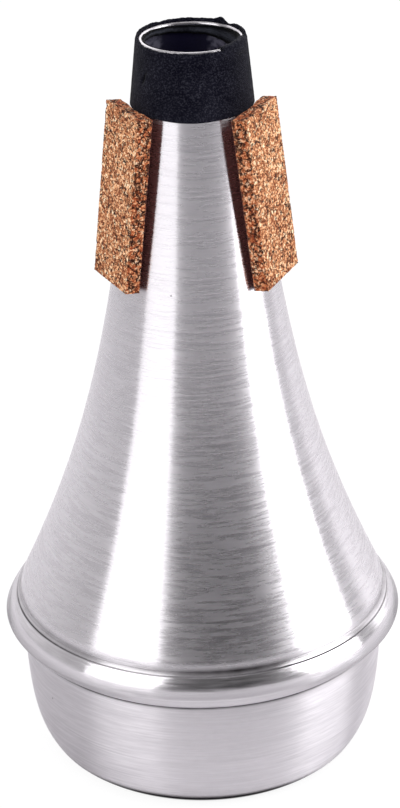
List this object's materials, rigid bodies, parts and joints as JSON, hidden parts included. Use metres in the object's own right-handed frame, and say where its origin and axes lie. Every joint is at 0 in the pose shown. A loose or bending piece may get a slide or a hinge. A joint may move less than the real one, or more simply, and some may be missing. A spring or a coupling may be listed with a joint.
{
  "type": "trumpet mute",
  "caption": "Straight trumpet mute: a flared spun aluminium cone seamed to a shallow bowl, with cork strips and cloth tape on its neck.",
  "frame": {"origin": "centre of the flat base that the mute stands on", "axes": "+Z along the axis towards the small open end, -Y to the front between the left and the right cork strip"},
  "size_m": [0.085, 0.085, 0.1583],
  "materials": {
    "spun_aluminium": "satin, spun with fine rings",
    "pressed_cork": "dry pressed granules",
    "black_cloth_tape": "matt woven tape"
  },
  "bodies": {
    "root": {"flared_shell": "spun_aluminium", "bottom_bowl": "spun_aluminium", "neck_tape": "black_cloth_tape", "cork_strip_left": "pressed_cork", "cork_strip_right": "pressed_cork", "cork_strip_back": "pressed_cork"}
  },
  "joints": []
}
